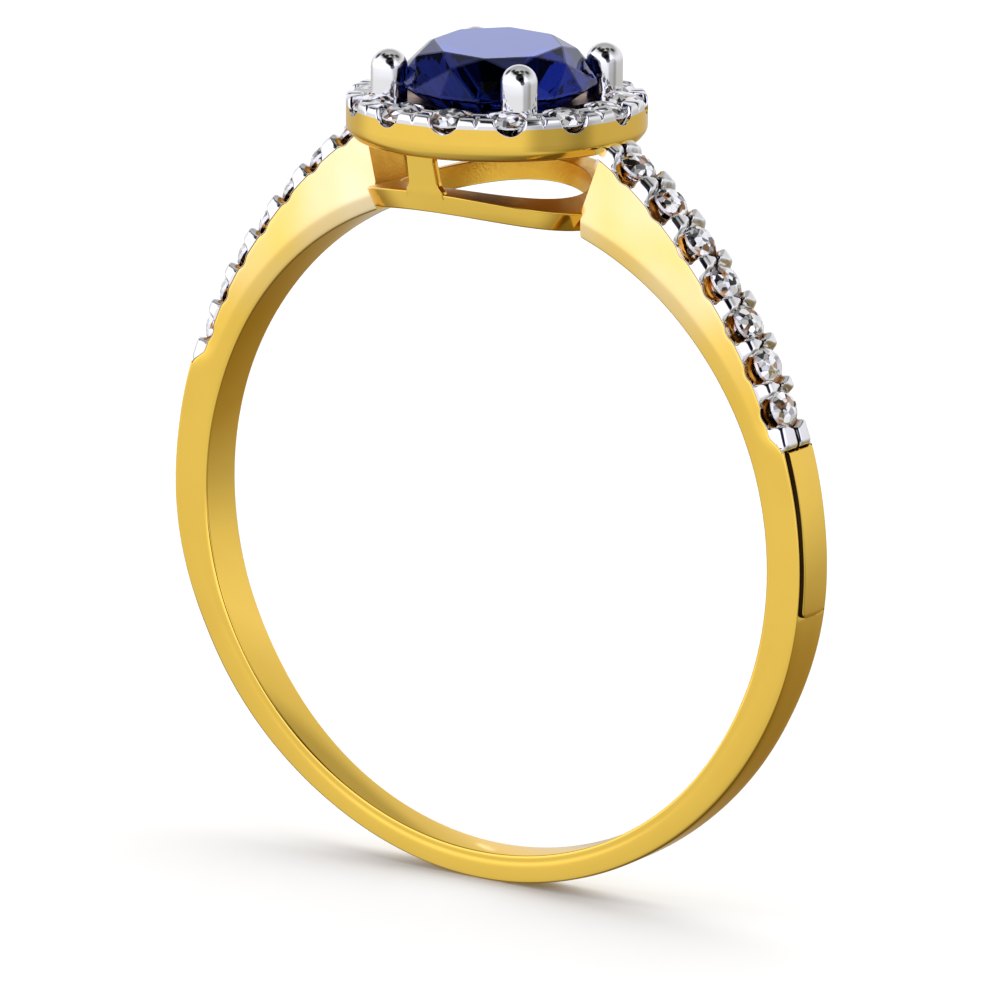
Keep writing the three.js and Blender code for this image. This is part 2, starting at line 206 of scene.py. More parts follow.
def blur(field, passes, wrap=False):
    """Light smoothing of a height field; wrap joins its first and last rows."""
    for _ in range(passes):
        for axis in (0, 1):
            mode = "wrap" if wrap and axis == 0 else "edge"
            pad = [(0, 0), (0, 0)]
            pad[axis] = (1, 1)
            grown = np.pad(field, pad, mode=mode)
            low = np.take(grown, range(0, field.shape[axis]), axis)
            high = np.take(grown, range(2, field.shape[axis] + 2), axis)
            field = 0.25 * low + 0.5 * field + 0.25 * high
    return field


# ---- Mesh helpers ----
def make_piece(name, points, faces, materials, face_slots=None, sharp=math.radians(35), weighted=True):
    """A mesh object from millimetre points, on the root body."""
    mesh = bpy.data.meshes.new(name)
    mesh.from_pydata((np.asarray(points) * MM).tolist(), [], faces)
    for material in materials:
        mesh.materials.append(material)
    if face_slots is not None:
        mesh.polygons.foreach_set("material_index", np.asarray(face_slots, np.int32))
    mesh.validate()
    mesh.polygons.foreach_set("use_smooth", [True] * len(mesh.polygons))
    mesh.set_sharp_from_angle(angle=sharp)
    piece = bpy.data.objects.new(name, mesh)
    bpy.context.scene.collection.objects.link(piece)
    if weighted:
        normals = piece.modifiers.new("even_shading", "WEIGHTED_NORMAL")
        normals.keep_sharp = True
    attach(piece, "root")
    return piece


def grid_faces(rows, columns, wrap_rows=False, wrap_columns=True):
    """Quads between neighbouring rows of points; columns close on themselves unless told otherwise."""
    faces = []
    for i in range(rows if wrap_rows else rows - 1):
        a = i * columns
        b = ((i + 1) % rows) * columns
        for j in range(columns if wrap_columns else columns - 1):
            k = (j + 1) % columns
            faces.append((a + j, b + j, b + k, a + k))
    return faces


def end_caps(rows, columns):
    """The two faces that close a tube of wrapped columns at its first and last row."""
    last = (rows - 1) * columns
    return [tuple(range(columns))[::-1], tuple(last + j for j in range(columns))]


def on_band(radius, angle, y):
    """Points at a radius and an angle from the head; the angle's sign picks the side."""
    turn = np.radians(angle)
    return np.stack([radius * np.sin(turn), y + 0 * turn, radius * np.cos(turn)], -1)


# ---- Materials ----
NOISE_LOW, NOISE_HIGH = 0.3, 0.7
BUMP_DISTANCE = 0.00002


def new_material(name):
    material = bpy.data.materials.new(name)
    material.use_nodes = True
    return material, material.node_tree, material.node_tree.nodes["Principled BSDF"]


def add_noise(tree, scale, detail):
    """Noise in the piece's own coordinates, so the scale counts per metre."""
    coords = tree.nodes.new("ShaderNodeTexCoord")
    noise = tree.nodes.new("ShaderNodeTexNoise")
    noise.inputs["Scale"].default_value = scale
    noise.inputs["Detail"].default_value = detail
    tree.links.new(coords.outputs["Object"], noise.inputs["Vector"])
    return noise.outputs["Fac"]


def map_range(tree, source, low, high, least=0.0, most=1.0):
    """Carries low..high of the source to least..most."""
    ramp = tree.nodes.new("ShaderNodeMapRange")
    ramp.inputs["From Min"].default_value = low
    ramp.inputs["From Max"].default_value = high
    ramp.inputs["To Min"].default_value = least
    ramp.inputs["To Max"].default_value = most
    tree.links.new(source, ramp.inputs["Value"])
    return ramp


def drive_range(tree, noise, socket, low, high):
    """Lets a noise swing a socket between two values."""
    ramp = map_range(tree, noise, NOISE_LOW, NOISE_HIGH, low, high)
    tree.links.new(ramp.outputs["Result"], socket)


def drive_colour(tree, noise, socket, dark, light):
    """Lets a noise swing a socket between two colours."""
    ramp = tree.nodes.new("ShaderNodeValToRGB")
    ramp.color_ramp.elements[0].position = NOISE_LOW
    ramp.color_ramp.elements[0].color = (*dark, 1)
    ramp.color_ramp.elements[1].position = NOISE_HIGH
    ramp.color_ramp.elements[1].color = (*light, 1)
    tree.links.new(noise, ramp.inputs["Fac"])
    tree.links.new(ramp.outputs["Color"], socket)


def mix_colour(tree, factor, first):
    """A colour mix over the first colour; its B socket is left to the caller."""
    mix = tree.nodes.new("ShaderNodeMix")
    mix.data_type = "RGBA"
    tree.links.new(factor, mix.inputs["Factor"])
    tree.links.new(first, mix.inputs["A"])
    return mix


def vector_maths(tree, operation, source):
    node = tree.nodes.new("ShaderNodeVectorMath")
    node.operation = operation
    tree.links.new(source, node.inputs[0])
    return node


def metal_material(name, dark, light, rough, bump, grain, coat=0.0, edge=(1, 1, 1)):
    """A metal with a drifting tone, worn roughness and a fine bump; edge tints its grazing reflection."""
    material, tree, shader = new_material(name)
    shader.inputs["Metallic"].default_value = 1
    shader.inputs["Specular Tint"].default_value = (*edge, 1)
    shader.inputs["Coat Weight"].default_value = coat
    shader.inputs["Coat Roughness"].default_value = 0.05
    drive_colour(tree, add_noise(tree, 350, 3), shader.inputs["Base Color"], dark, light)
    drive_range(tree, add_noise(tree, 1800, 4), shader.inputs["Roughness"], *rough)
    relief = tree.nodes.new("ShaderNodeBump")
    relief.inputs["Strength"].default_value = bump
    relief.inputs["Distance"].default_value = BUMP_DISTANCE
    tree.links.new(add_noise(tree, grain, 3), relief.inputs["Height"])
    tree.links.new(relief.outputs["Normal"], shader.inputs["Normal"])
    return material


def polished_gold(name="polished_gold"):
    return metal_material(
        name, dark=(0.86, 0.56, 0.08), light=(0.90, 0.595, 0.09),
        rough=(0.08, 0.14), bump=0.02, grain=2500, coat=0.35, edge=(1.0, 0.88, 0.6),
    )


def cast_gold():
    return metal_material(
        "cast_gold", dark=(0.78, 0.43, 0.045), light=(0.90, 0.56, 0.08),
        rough=(0.28, 0.42), bump=0.5, grain=14000,
    )


# Dark rose-brown painted shade for the centre seat under the sapphire, standing in for its gold.
def seat_painted_shade():
    return metal_material(
        "seat_painted_shade", dark=(0.30, 0.15, 0.08), light=(0.46, 0.26, 0.15),
        rough=(0.3, 0.45), bump=0.4, grain=12000,
    )


# Yellow gold of the notches and cups, swung by noise towards dark brown painted shade.
def cup_gold_painted_shade():
    return metal_material(
        "cup_gold_painted_shade", dark=(0.24, 0.09, 0.015), light=(0.80, 0.38, 0.05),
        rough=(0.2, 0.35), bump=0.3, grain=9000,
    )


# Near-black painted shade for the grooves beside the strips, the slits between the white beads and the
# lower end of each row.
def groove_painted_shade():
    return metal_material(
        "groove_painted_shade", dark=(0.012, 0.006, 0.002), light=(0.03, 0.015, 0.004),
        rough=(0.3, 0.5), bump=0.3, grain=9000,
    )


def rhodium():
    return metal_material(
        "rhodium_white", dark=(0.76, 0.76, 0.765), light=(0.81, 0.81, 0.815),
        rough=(0.05, 0.1), bump=0.02, grain=2500,
    )


def shoulder_gold_painted_highlight():
    """Polished gold with a painted highlight: cream patches over its colour where the band rises to the
    head.
    """
    highlight_from, highlight_full, most_highlight = 0.0045, 0.008, 0.95
    highlight_patches_per_metre = 420
    highlight_colour = (0.90, 0.74, 0.45, 1)
    material = polished_gold("shoulder_gold_painted_highlight")
    tree = material.node_tree
    socket = tree.nodes["Principled BSDF"].inputs["Base Color"]
    deep = socket.links[0].from_socket
    coords = tree.nodes.new("ShaderNodeTexCoord")
    split = tree.nodes.new("ShaderNodeSeparateXYZ")
    tree.links.new(coords.outputs["Object"], split.inputs["Vector"])
    # Painted highlight: cream laid over the gold, growing with height towards the head and broken into
    # patches by a noise.
    rise = map_range(tree, split.outputs["Z"], highlight_from, highlight_full, most=most_highlight)
    patch = tree.nodes.new("ShaderNodeMath")
    patch.operation = "MULTIPLY"
    drive_range(tree, add_noise(tree, highlight_patches_per_metre, 1), patch.inputs[0], 0.1, 1.0)
    tree.links.new(rise.outputs["Result"], patch.inputs[1])
    highlight_mix = mix_colour(tree, patch.outputs["Value"], deep)
    highlight_mix.inputs["B"].default_value = highlight_colour
    tree.links.new(highlight_mix.outputs["Result"], socket)
    return material


def diamond_painted_reflections():
    """A small diamond as it looks set: a metal mosaic of painted reflections in bright, grey, dark and
    brown splinters, the brown standing for the gold cup seen in the stone.
    """
    splinters_per_metre, lean = 6500, 1.1
    # Painted reflections: black, brown from the gold cups, grey and white.
    reflection_tones = [
        (0.0, (0.012, 0.01, 0.01)), (0.10, (0.36, 0.17, 0.06)), (0.20, (0.28, 0.27, 0.26)),
        (0.32, (0.65, 0.65, 0.65)), (0.46, (0.94, 0.94, 0.95)),
    ]
    material, tree, shader = new_material("diamond_painted_reflections")
    shader.inputs["Metallic"].default_value = 1
    shader.inputs["Roughness"].default_value = 0.06
    shader.inputs["Coat Weight"].default_value = 0.6
    coords = tree.nodes.new("ShaderNodeTexCoord")
    cells = tree.nodes.new("ShaderNodeTexVoronoi")
    cells.inputs["Scale"].default_value = splinters_per_metre
    tree.links.new(coords.outputs["Object"], cells.inputs["Vector"])
    draw = cells.outputs["Color"]
    parts = tree.nodes.new("ShaderNodeSeparateXYZ")
    tree.links.new(draw, parts.inputs["Vector"])
    tone = tree.nodes.new("ShaderNodeValToRGB")
    tone.color_ramp.interpolation = "CONSTANT"
    for _ in reflection_tones[2:]:
        tone.color_ramp.elements.new(0.9)
    for element, (position, colour) in zip(tone.color_ramp.elements, reflection_tones):
        element.position = position
        element.color = (*colour, 1)
    tree.links.new(parts.outputs["X"], tone.inputs["Fac"])
    tree.links.new(tone.outputs["Color"], shader.inputs["Base Color"])

    # Every splinter leans its own way from the surface it lies on.
    centred = vector_maths(tree, "SUBTRACT", draw)
    centred.inputs[1].default_value = (0.5, 0.5, 0.5)
    swung = vector_maths(tree, "SCALE", centred.outputs["Vector"])
    swung.inputs["Scale"].default_value = lean
    surface = tree.nodes.new("ShaderNodeNewGeometry")
    leaned = vector_maths(tree, "ADD", surface.outputs["Normal"])
    tree.links.new(swung.outputs["Vector"], leaned.inputs[1])
    unit = vector_maths(tree, "NORMALIZE", leaned.outputs["Vector"])
    tree.links.new(unit.outputs["Vector"], shader.inputs["Normal"])
    return material


def frosted_girdle():
    material, tree, shader = new_material("frosted_girdle")
    shader.inputs["Metallic"].default_value = 0.6
    grain = add_noise(tree, 30000, 2)
    dark, light = (0.72, 0.73, 0.76), (0.95, 0.95, 0.97)
    drive_colour(tree, grain, shader.inputs["Base Color"], dark, light)
    drive_range(tree, grain, shader.inputs["Roughness"], 0.25, 0.45)
    return material


def sapphire_blue():
    """Clear blue glass of sapphire's refraction, with a bluer reflection at its faces."""
    material, tree, shader = new_material("sapphire_blue")
    shader.inputs["Transmission Weight"].default_value = 1
    shader.inputs["Roughness"].default_value = 0
    shader.inputs["IOR"].default_value = 1.77
    shader.inputs["Specular Tint"].default_value = (0.15, 0.2, 0.7, 1)
    dark, light = (0.003, 0.006, 0.07), (0.006, 0.014, 0.15)
    drive_colour(tree, add_noise(tree, 420, 2), shader.inputs["Base Color"], dark, light)
    return material


GOLD = polished_gold()
SHOULDER_HIGHLIGHT = shoulder_gold_painted_highlight()
CAST = cast_gold()
CUP_GOLD_SHADE = cup_gold_painted_shade()
GROOVE_SHADE = groove_painted_shade()
SEAT_SHADE = seat_painted_shade()
WHITE = rhodium()
BLUE = sapphire_blue()
FROSTED = frosted_girdle()
DIAMOND_REFLECTIONS = diamond_painted_reflections()


# ---- Head outline that the shoulders run into ----
HEAD_FOOT_R, HEAD_FOOT_Z = 3.2, 8.6
HEAD_TOP_R, HEAD_TOP_Z = 3.62, HALO_BOTTOM


def head_radius(z):
    """Radius of the cone round the head that the shoulders end on."""
    t = np.clip((z - HEAD_FOOT_Z) / (HEAD_TOP_Z - HEAD_FOOT_Z), 0, 1.4)
    return HEAD_FOOT_R + (HEAD_TOP_R - HEAD_FOOT_R) * t


# ---- Shoulder rows: a height field over the rim ----
YELLOW_CUT_SHADE, SLIT_SHADE = 1, 2
ROW_HALF = 0.66


def row_distances(angle):
    """Distance along the row from every stone, for each angle."""
    slope_gain = 1.02  # the sloping rim is a little longer than its arc
    stones = ROW_FIRST + ROW_PITCH * np.arange(ROW_STONES)
    return np.radians(angle[:, None] - stones[None, :]) * rim_radius(stones)[None, :] * slope_gain


def row_height(angle, y):
    """Height of the setting above the rim curve, and its slots: white, a cut of yellow gold darkened by
    painted shade, or a slit of painted shade.
    """
    slit_depth, slit_half_width, slit_half_length = 0.2, 0.05, 0.6
    slit_shown_from, cut_shown_from, cup_floor_r, untouched = 0.07, 0.24, 0.3, 0.02
    along = row_distances(angle)
    across = y[None, :]
    height = np.full((len(angle), len(y)), PRONG_RISE)
    half_pitch = 0.5 * math.radians(ROW_PITCH) * ROW_MEAN_R
    for k in range(-1, ROW_STONES):
        stone = max(k, 0)
        ds = (along[:, stone] - (half_pitch if k >= 0 else -half_pitch))[:, None]
        width_fade = np.exp(-((across / slit_half_width) ** 2))
        height = height - slit_depth * width_fade * np.exp(-((ds / slit_half_length) ** 4))
    plain = height.copy()
    # Shallow slits between the beads are marked for the near-black painted shade.
    slit = plain < PRONG_RISE - slit_shown_from
    cup_floor = np.full(height.shape, False)
    for k in range(ROW_STONES):
        ds = along[:, k][:, None]
        notch_drop = np.sqrt(np.clip(NOTCH_R**2 - ds**2, 0, None))
        notch = np.where(np.abs(ds) < NOTCH_R, NOTCH_CENTRE - notch_drop, NO_CUT)
        d = np.hypot(ds, across)
        wall = np.maximum(-CUP_SEAT - CUP_WALL_SLOPE * (ROW_CUP_R - d), -CUP_DEPTH)
        cup = np.where(d < ROW_CUP_R, wall, NO_CUT)
        height = np.minimum(height, np.minimum(notch, cup))
        cup_floor = cup_floor | (d < cup_floor_r)
    # Walls of the notches and cups, outside the cup floor, take the yellow gold darkened by painted shade.
    cut = (plain - height > cut_shown_from) & ~cup_floor
    slit = slit & (height > plain - untouched)
    # A face takes the slot of its first corner, so one more column makes the slit even on both sides.
    slit[:, :-1] = slit[:, :-1] | slit[:, 1:]
    return height, np.where(cut, YELLOW_CUT_SHADE, np.where(slit, SLIT_SHADE, 0))


def row_boundary(angle):
    """Radius of the white and yellow meeting line on the flank."""
    edge_y, taper_length, end_depth, least_white = 0.6, 3.2, 0.05, 0.03
    edge = row_height(angle, np.array([edge_y]))[0][:, 0]
    taper = 1 - smoothstep(ROW_END - taper_length, ROW_END, angle)
    depth = np.minimum(-WHITE_DEPTH * taper - end_depth * (1 - taper), edge - least_white)
    depth = blur(depth[:, None], 4)[:, 0]
    return rim_radius(angle) + depth


def row_section(side, angle, top_r, low, across, edge):
    """One closed section of a row: relief on top, a wall down each flank, and a tongue inside the band."""
    lip, corner_from = 0.01, 0.98
    tongue_depth, tongue_half, tongue_foot_half = 0.4, 0.51, 0.49
    turn = side * angle
    floor_r = low + lip * (np.abs(across) > corner_from)
    top = on_band(np.maximum(top_r, floor_r), np.full(len(across), turn), across * edge)
    wall_r = np.linspace(max(top_r[-1], low + lip), low, 5)[1:]
    wall_y = half_width_at(angle, wall_r)
    right = on_band(wall_r, np.full(len(wall_r), turn), wall_y)
    left = on_band(wall_r[::-1], np.full(len(wall_r), turn), -wall_y[::-1])
    tongue_r = np.array([low, low - tongue_depth, low - tongue_depth, low])
    tongue_y = np.array([tongue_half, tongue_foot_half, -tongue_foot_half, -tongue_half])
    under = on_band(tongue_r, np.full(4, turn), tongue_y)
    return np.concatenate([top, right, under, left])


def shoulder_row(name, side, node):
    """One white setting: the relief over the rim, with yellow cuts darkened by painted shade, and painted
    shade in the slits and over the lower end.
    """
    along_steps, across_steps = 420, 65
    end_r, end_ease, plain_edge, shaded_end = 9.55, 0.16, 4, 0.2
    angles = np.linspace(ROW_START, ROW_END, along_steps)
    across = np.linspace(-1, 1, across_steps)
    edge = edge_half(angles)
    height, cut = row_height(angles, across * ROW_HALF)
    height = blur(height, 8)
    border = ROW_HALF * (1 - np.abs(across))
    height = height - eased_drop(border, BLOCK_EASE)[None, :]
    to_end = np.radians(ROW_END - angles) * end_r
    height = height - eased_drop(to_end, end_ease)[:, None]
    rim = rim_radius(angles)
    low = row_boundary(angles)
    rows = []
    for i, angle in enumerate(angles):
        rows.append(row_section(side, angle, rim[i] + height[i], low[i], across, edge[i]))
    columns = len(rows[0])
    faces = grid_faces(len(rows), columns) + end_caps(len(rows), columns)
    cut_and_shade_slots = np.zeros((len(rows), columns), int)
    cut_and_shade_slots[:, : len(across)] = cut
    # The last stretch of the row, where it dips to the strip, is painted with shade.
    cut_and_shade_slots[angles > ROW_END - shaded_end, : len(across)] = SLIT_SHADE
    cut_and_shade_slots[:, :plain_edge] = 0
    cut_and_shade_slots[:, len(across) - plain_edge : len(across)] = 0
    slots = cut_and_shade_slots[:-1].ravel().tolist() + [0, 0]
    if side < 0:
        faces = [face[::-1] for face in faces]
    materials = [WHITE, CUP_GOLD_SHADE, GROOVE_SHADE]
    points = np.concatenate(rows)
    piece = make_piece(name, points, faces, materials, slots, sharp=math.radians(60), weighted=False)
    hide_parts(node)


# ---- Band ----
def band_section(angle):
    """The band's closed section at one angle as (radius, y) points, and how many points a corner takes."""
    under_row_depth, groove_width, groove_ease = 0.45, 0.05, 0.02
    bore_ease, strip_ease, foot_lift = 0.12, 0.06, 0.14
    strip_rise, strip_fade, nearby = 0.1, 0.3, 0.3
    rim = float(rim_radius(angle))
    under_row = angle < ROW_END
    if under_row:
        rim = float(row_boundary(np.array([angle - nearby, angle, angle + nearby]))[1])
    flank = float(flank_half(angle))
    edge = float(half_width_at(angle, rim))
    raised = float(smoothstep(STRIP_START - strip_rise, STRIP_START, angle))
    raised = raised * float(1 - smoothstep(STRIP_END - strip_fade, STRIP_END, angle))
    tip = max(angle - STRIP_END + STRIP_TIP, 0) / STRIP_TIP
    strip = STRIP_HALF * max(1 - tip**4, 0.01) ** 0.25
    top = rim - under_row_depth if under_row else rim + STRIP_PROUD * raised
    bottom = rim if under_row else rim - STRIP_GROOVE * raised

    # From the strip down to the foot the band turns from flat flanks to rounder ones.
    lower = float(smoothstep(90, 125, angle))
    crown = FLANK_CROWN * lower
    foot = FLANK_R + (FINGER_R + foot_lift - FLANK_R) * lower
    foot_ease = 0.08 - 0.06 * lower
    rim_ease = 0.05 + 0.17 * float(smoothstep(94, 120, angle))
    half = [(FINGER_R, flank), (foot, flank), (rim, edge), (bottom, strip + groove_width), (top, strip)]
    corners = [(r, -y) for r, y in half] + half[::-1]
    side = [bore_ease, foot_ease, rim_ease, groove_ease, strip_ease]
    points = rounded(corners, side + side[::-1])
    per_corner = len(points) // len(corners)

    # Each flank gets more points, which swell it a little.
    outline = []
    for k, point in enumerate(points):
        outline.append(point)
        if k == 2 * per_corner - 1 or k == 8 * per_corner - 1:
            after = points[k + 1]
            side_sign = -1 if k < 4 * per_corner else 1
            for t in np.linspace(0, 1, SWELL_POINTS + 2)[1:-1]:
                swell = np.array([0, side_sign * 4 * crown * t * (1 - t)])
                outline.append(point + (after - point) * t + swell)
    return np.array(outline), per_corner


def shoulder_end(angles, radii, y):
    """Angle where a lengthwise line of the band, known by its radii at some angles, meets the head."""
    low, high, halvings = 5.0, 44.0, 40
    for _ in range(halvings):
        middle = 0.5 * (low + high)
        radius = float(np.interp(middle, angles, radii))
        x, z = radius * math.sin(math.radians(middle)), radius * math.cos(math.radians(middle))
        if math.hypot(x, y) < head_radius(z):
            low = middle
        else:
            high = middle
    return 0.5 * (low + high)


def half_shank(plan, stack, blend_to):
    """Sections from the head to the foot as (radius, angle, y); the first fan out to end on the head."""
    width_angle = 21
    lines = range(stack.shape[1])
    widths = [float(np.interp(width_angle, plan, stack[:, k, 1])) for k in lines]
    ends = np.array([shoulder_end(plan, stack[:, k, 0], widths[k]) for k in lines])
    half = []
    for i, angle in enumerate(plan):
        if angle < blend_to:
            own = ends + (angle - plan[0]) / (blend_to - plan[0]) * (blend_to - ends)
            radius = np.array([np.interp(a, plan, stack[:, k, 0]) for k, a in enumerate(own)])
            y = np.array([np.interp(a, plan, stack[:, k, 1]) for k, a in enumerate(own)])
            half.append((radius, own, y))
        else:
            half.append((stack[i, :, 0], np.full(len(lines), angle), stack[i, :, 1]))
    return half


def shank():
    """The band, built down one side and up the other, with cast ends and painted shade in the grooves by
    the strips.
    """
    cast, groove_shade_slot = 1, 2
    start, blend_to, strip_past, seam_gap = 17.0, 45.0, 98, 0.02
    plan = np.concatenate([
        np.linspace(start, blend_to, 70),
        np.linspace(blend_to, ROW_END - seam_gap, 80)[1:],
        np.linspace(ROW_END + seam_gap, strip_past, 90),
        np.linspace(strip_past, 180, 100)[1:],
    ])
    stack = np.array([band_section(angle)[0] for angle in plan])
    per_corner = band_section(90.0)[1]
    count = stack.shape[1]
    half = half_shank(plan, stack, blend_to)
    rows = [on_band(r, -a, y) for r, a, y in half]
    rows += [on_band(r, a, y) for r, a, y in half[-2::-1]]
    faces = grid_faces(len(rows), count) + end_caps(len(rows), count)
    # The groove faces beside each strip take the near-black painted shade.
    groove = [3 * per_corner + SWELL_POINTS + k for k in range(0, per_corner + 1)]
    groove += [count - 1 - k for k in groove]
    walls = np.zeros((len(rows) - 1, count), int)
    along = np.abs(np.concatenate([-plan, plan[-2::-1]]))[:-1]
    groove_shaded = (along > STRIP_START) & (along < STRIP_END)
    for k in groove:
        walls[groove_shaded, k] = groove_shade_slot
    slots = walls.ravel().tolist() + [cast, cast]
    faces = [face[::-1] for face in faces]
    materials = [SHOULDER_HIGHLIGHT, CAST, GROOVE_SHADE]
    piece = make_piece("shank_body", np.concatenate(rows), faces, materials, slots, sharp=math.radians(40))
    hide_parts("shank")


# ---- Halo ----
def halo_height(theta, radius):
    """Height of the pavé plate above HALO_TOP over a polar grid, and where the cuts show yellow gold
    darkened by painted shade.
    """
    split_depth, split_half_width, split_from, split_to = 0.2, 0.028, 3.35, 3.5
    groove_depth, groove_r, groove_half_width, groove_half_length = 0.14, 3.22, 0.07, 0.5
    notch_r, notch_z, cut_shown_from, cut_inside = 0.38, 0.03, 0.2, 0.1
    pitch = 2 * math.pi / HALO_STONES
    local = (theta + pitch / 2) % pitch - pitch / 2
    gap = (theta % pitch) - pitch / 2
    r = radius[None, :]
    t_gap = r * gap[:, None]
    height = np.full((len(theta), len(radius)), HALO_RISE)
    split = np.exp(-((t_gap / split_half_width) ** 2)) * smoothstep(split_from, split_to, r)
    height = height - split_depth * split
    ring = np.exp(-(((r - groove_r) / groove_half_width) ** 2))
    height = height - groove_depth * ring * np.exp(-((t_gap / groove_half_length) ** 4))
    x = r * np.cos(local)[:, None] - HALO_CIRCLE
    t = r * np.sin(local)[:, None]
    notch_floor = notch_z - np.sqrt(np.clip(notch_r**2 - t**2, 0, None))
    notch = np.where((np.abs(t) < notch_r) & (x > 0), notch_floor, NO_CUT)
    d = np.hypot(x, t)
    wall = np.maximum(-HALO_CUP_SEAT - CUP_WALL_SLOPE * (HALO_CUP_R - d), -CUP_DEPTH)
    cup = np.where(d < HALO_CUP_R, wall, NO_CUT)
    lowest = np.minimum(height, np.minimum(notch, cup))
    return lowest, (height - lowest > cut_shown_from) & (r < HALO_CIRCLE - cut_inside)


COLUMNS_PER_STONE = 56
HALO_COLUMNS = HALO_STONES * COLUMNS_PER_STONE
halo_angles = np.linspace(0, 2 * math.pi, HALO_COLUMNS, endpoint=False)


def halo_boundary():
    """Height of the white and yellow meeting line round the rim."""
    just_inside, least_white = 0.02, 0.03
    edge = HALO_TOP + halo_height(halo_angles, np.array([HALO_R - just_inside]))[0][:, 0]
    line = np.minimum(HALO_LINE, edge - least_white)
    return blur(line[:, None], 4, wrap=True)[:, 0]


def ring_points(radius, z):
    """Points round the vertical axis; radius and z are each a number or an array over the angles."""
    radius = np.broadcast_to(radius, halo_angles.shape)
    z = np.broadcast_to(z, halo_angles.shape)
    return np.stack([radius * np.cos(halo_angles), radius * np.sin(halo_angles), z + 0 * halo_angles], -1)


def turned_loop(name, loop, materials, slots=None, sharp=math.radians(40)):
    """A ring from a closed loop of (radius, z) values; slots go by loop point or by face."""
    points = np.stack([ring_points(r, z) for r, z in loop], 1).reshape(-1, 3)
    faces = grid_faces(HALO_COLUMNS, len(loop), wrap_rows=True)
    if slots is not None and len(slots) == len(loop):
        slots = np.tile(slots, HALO_COLUMNS)
    return make_piece(name, points, faces, materials, slots, sharp=sharp)


def pave_plate():
    """The white ring that holds the halo stones: its relief, a short outer wall and a flat underside."""
    bore, bore_ease, overlap, least_wall = 2.56, 0.1, 0.08, 0.01
    steps, rim_crowding = 56, 1.15
    radii = HALO_R - (HALO_R - bore) * np.linspace(1, 0, steps) ** rim_crowding
    count = len(radii)
    height, cut = halo_height(halo_angles, radii)
    height = blur(height, 1, wrap=True)
    height = height - eased_drop(HALO_R - radii, HALO_EDGE_EASE)[None, :]
    height = height - eased_drop(radii - bore, bore_ease)[None, :]
    line = halo_boundary()
    loop = [(r, HALO_TOP + height[:, j]) for j, r in enumerate(radii)]
    top_edge = np.maximum(HALO_TOP + height[:, -1], line + least_wall)
    loop[-1] = (HALO_R, top_edge)
    loop += [(HALO_R, top_edge + (line - top_edge) * t) for t in (0.34, 0.67, 1.0)]
    loop += [(HALO_R - overlap, line), (HALO_R - overlap, HALO_INSIDE_Z), (bore, HALO_INSIDE_Z)]
    loop = loop[::-1]
    # Faces in the cuts take the yellow gold darkened by painted shade.
    yellow = np.zeros((HALO_COLUMNS, len(loop)), bool)
    yellow[:, -count:] = cut[:, ::-1]
    yellow[:, -count : -count + 3] = False
    slots = yellow.astype(int).ravel()
    piece = turned_loop("halo_pave", loop, [WHITE, CUP_GOLD_SHADE], slots, sharp=math.radians(60))
    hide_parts("halo_pave_plate")


def halo_band():
    """The yellow floor and outer wall of the halo, up to the white plate's lower edge."""
    bore, floor_top, wall_low, wall_high, wall = 2.45, 10.38, 10.3, 10.5, 0.09
    steps, eased_corners = 5, 3
    line = halo_boundary()
    corners = [(bore, HALO_BOTTOM), (HALO_FOOT_R, HALO_BOTTOM), (HALO_R, wall_low), (HALO_R, wall_high)]
    eased = rounded(corners, [0.04, 0.12, 0.16, 0.0], steps)
    outside = [(r, z) for r, z in eased[: eased_corners * (steps + 1)]]
    loop = [(bore, floor_top)] + outside + [(HALO_R, wall_high), (HALO_R, line)]
    loop += [(HALO_R - wall, line), (HALO_R - wall, floor_top)]
    piece = turned_loop("halo_side_band", loop, [GOLD])
    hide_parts("halo_band")


# ---- Gallery ----
RAIL_TOP = 9.12
RAIL_FOOT = 8.6
RAIL_LOOP = [(2.38, 8.5), (3.06, RAIL_FOOT), (3.26, RAIL_TOP), (2.38, RAIL_TOP)]


def bend_height(x, height):
    """Z of a point at a side offset x that stays the given distance from the finger axis."""
    return np.sqrt(np.clip(height**2 - x**2, 0, None))


def gallery_rail():
    """The ring under the head, bent to follow the finger; its top and inside are left as cast."""
    steps = 4
    outline = rounded(RAIL_LOOP, [0.05, 0.05, 0.05, 0.04], steps)
    loop = [(radius, bend_height(radius * np.cos(halo_angles), height)) for radius, height in outline]
    cast_from = 3 * (steps + 1) - 1
    slots = [0] * cast_from + [1] * (len(loop) - cast_from)
    piece = turned_loop("gallery_ring", loop, [GOLD, CAST], slots)
    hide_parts("gallery_rail")


def post_section(z, side, top):
    """A rounded rectangle of the post at one height: flared at both ends, leaning outwards."""
    thickness, half_width, narrowing = 0.26, 0.43, 0.05
    foot_flare, top_flare = 0.11, 0.06
    in_rail_y, rail_slope, above_rail_y, lean = 3.065, 0.385, 3.265, 0.25
    rise = max(z - RAIL_TOP, 0) / (top - RAIL_TOP)
    flare = foot_flare * (1 - smoothstep(0, 0.22, rise)) + top_flare * smoothstep(0.85, 1, rise)
    half = half_width - narrowing * rise + flare
    outer = in_rail_y + rail_slope * (z - RAIL_FOOT) if z < RAIL_TOP else above_rail_y + lean * rise
    inner = outer - thickness
    corners = [(-half, outer), (half, outer), (half, inner), (-half, inner)]
    return [(x, side * y, z) for x, y in rounded(corners, [0.05, 0.05, 0.04, 0.04], 3)]


def gallery_post(name, side, node):
    """A post from inside the rail to inside the halo floor."""
    foot, top = 8.98, HALO_BOTTOM + 0.1
    heights = np.concatenate([np.linspace(foot, RAIL_TOP, 4)[:-1], np.linspace(RAIL_TOP, top, 14)])
    rows = [post_section(z, side, top) for z in heights]
    count = len(rows[0])
    faces = grid_faces(len(rows), count) + end_caps(len(rows), count)
    if side > 0:
        faces = [face[::-1] for face in faces]
    piece = make_piece(name, np.array(rows).reshape(-1, 3), faces, [GOLD])
    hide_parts(node)


